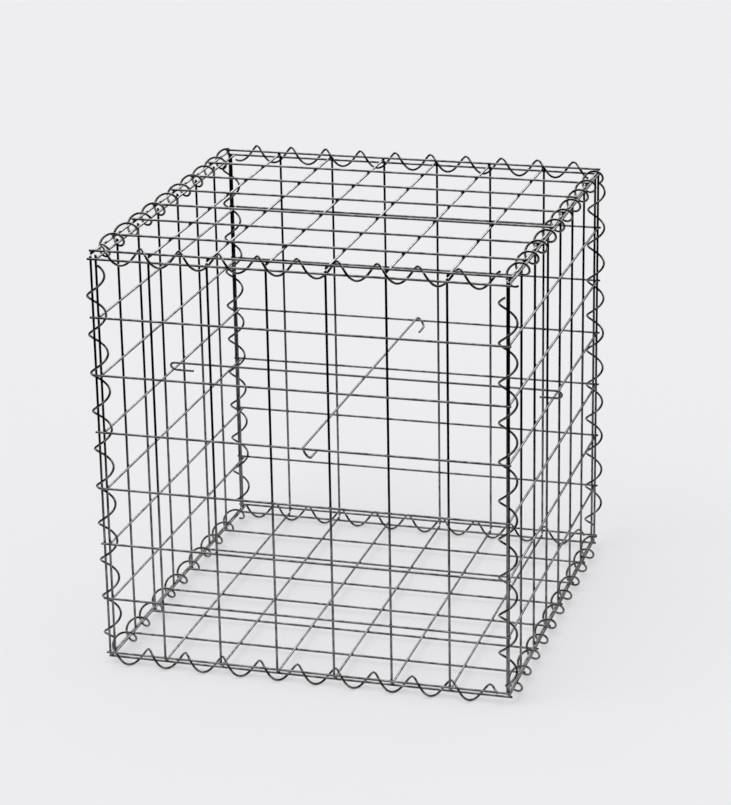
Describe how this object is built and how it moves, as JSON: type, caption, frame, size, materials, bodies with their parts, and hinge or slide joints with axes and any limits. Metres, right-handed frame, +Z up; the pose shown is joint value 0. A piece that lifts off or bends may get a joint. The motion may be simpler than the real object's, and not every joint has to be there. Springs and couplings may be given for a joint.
{
  "type": "gabion basket",
  "caption": "Cube-shaped welded mesh gabion basket, laced along its edges with spiral binders and braced inside by hooked ties.",
  "frame": {"origin": "on the ground, under the middle of the basket", "axes": "+Z up, +X to the right of the front panel, +Y from the front panel to the back"},
  "size_m": [0.5472, 0.561, 0.5588],
  "materials": {
    "panel_wire": "galvanised",
    "binder_wire": "galvanised"
  },
  "bodies": {
    "root": {"base_panel": "panel_wire", "lid_panel": "panel_wire", "front_panel": "panel_wire", "back_panel": "panel_wire", "left_panel": "panel_wire", "right_panel": "panel_wire", "spiral_bottom_front": "binder_wire", "spiral_bottom_back": "binder_wire", "spiral_bottom_left": "binder_wire", "spiral_bottom_right": "binder_wire", "spiral_top_front": "binder_wire", "spiral_top_back": "binder_wire", "spiral_top_left": "binder_wire", "spiral_top_right": "binder_wire", "spiral_corner_front_left": "binder_wire", "spiral_corner_front_right": "binder_wire", "spiral_corner_back_left": "binder_wire", "spiral_corner_back_right": "binder_wire", "tie_left_right": "binder_wire", "tie_front_back": "binder_wire"}
  },
  "joints": []
}
